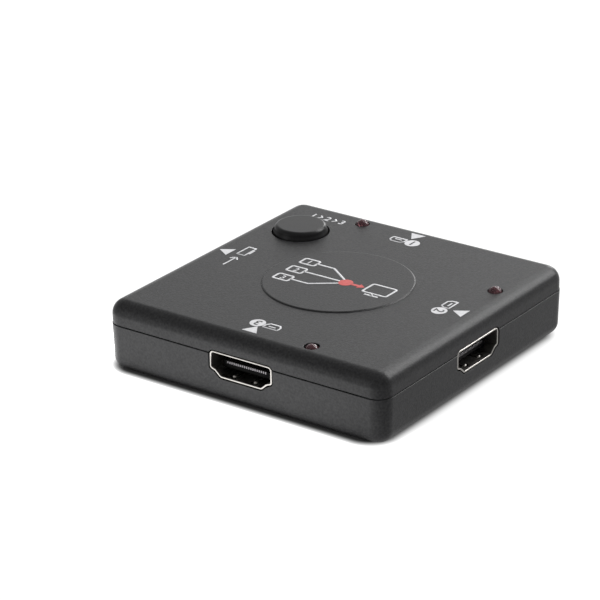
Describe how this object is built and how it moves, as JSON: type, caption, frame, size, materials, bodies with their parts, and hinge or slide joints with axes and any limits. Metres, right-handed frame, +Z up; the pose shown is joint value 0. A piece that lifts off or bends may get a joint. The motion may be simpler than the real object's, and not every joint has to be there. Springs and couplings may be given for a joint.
{
  "type": "video switch box",
  "caption": "Small square black box that joins several video source sockets to one screen socket, with a round select button and small indicator lamps on its top face.",
  "frame": {"origin": "on the table under the middle of the case", "axes": "+Z up through the top face, -Y out of input 3, +X out of input 2, +Y out of input 1, -X out of the output"},
  "size_m": [0.066, 0.066, 0.0162],
  "materials": {
    "case_plastic": "fine moulded texture",
    "button_plastic": "satin moulded",
    "screw_steel": "zinc plated",
    "shell_nickel": "bright nickel plated",
    "socket_plastic": "moulded",
    "contact_metal": "plated",
    "lamp_lens": "tinted, unlit",
    "board_laminate": "solder mask",
    "tinned_metal": "tinned",
    "switch_plastic": "moulded",
    "spring_steel": "plain",
    "chip_resin": "moulded",
    "capacitor_ceramic": "fired",
    "resistor_ceramic": "glazed",
    "mark_white": "screen printed",
    "mark_red": "screen printed",
    "lamp_cup": "plated"
  },
  "bodies": {
    "case": {"top_cover": "case_plastic", "bottom_cover": "case_plastic", "case_screws": "screw_steel", "circuit_board": "board_laminate", "tact_base": "switch_plastic", "tact_plate": "tinned_metal", "tact_dome": "spring_steel", "tact_terminals": "tinned_metal", "input_1_shell": "shell_nickel", "input_2_shell": "shell_nickel", "input_3_shell": "shell_nickel", "output_shell": "shell_nickel", "input_1_insulator": "socket_plastic", "input_2_insulator": "socket_plastic", "input_3_insulator": "socket_plastic", "output_insulator": "socket_plastic", "input_1_contacts": "contact_metal", "input_2_contacts": "contact_metal", "input_3_contacts": "contact_metal", "output_contacts": "contact_metal", "lamp_1": "lamp_lens", "lamp_2": "lamp_lens", "lamp_3": "lamp_lens", "lamp_1_leads": "tinned_metal", "lamp_2_leads": "tinned_metal", "lamp_3_leads": "tinned_metal", "switching_chip": "chip_resin", "switching_chip_leads": "tinned_metal", "memory_chips": "chip_resin", "memory_chip_leads": "tinned_metal", "regulator": "chip_resin", "regulator_leads": "tinned_metal", "capacitors": "capacitor_ceramic", "capacitor_ends": "tinned_metal", "resistors": "resistor_ceramic", "resistor_ends": "tinned_metal"},
    "button": {"select_button": "button_plastic"},
    "plunger": {"tact_plunger": "switch_plastic"}
  },
  "joints": [
    {"name": "select_press", "type": "slide", "parent": "case", "child": "button", "axis": [0, 0, -1], "range_m": [0, 0.0003], "stiffness_N_per_m": 5000},
    {"name": "plunger_press", "type": "slide", "parent": "case", "child": "plunger", "axis": [0, 0, -1], "range_m": [0, 0.0003], "deforming": ["tact_dome"]}
  ],
  "couplings": [
    {"joint": "plunger_press", "follows": "select_press", "ratio": 1}
  ]
}
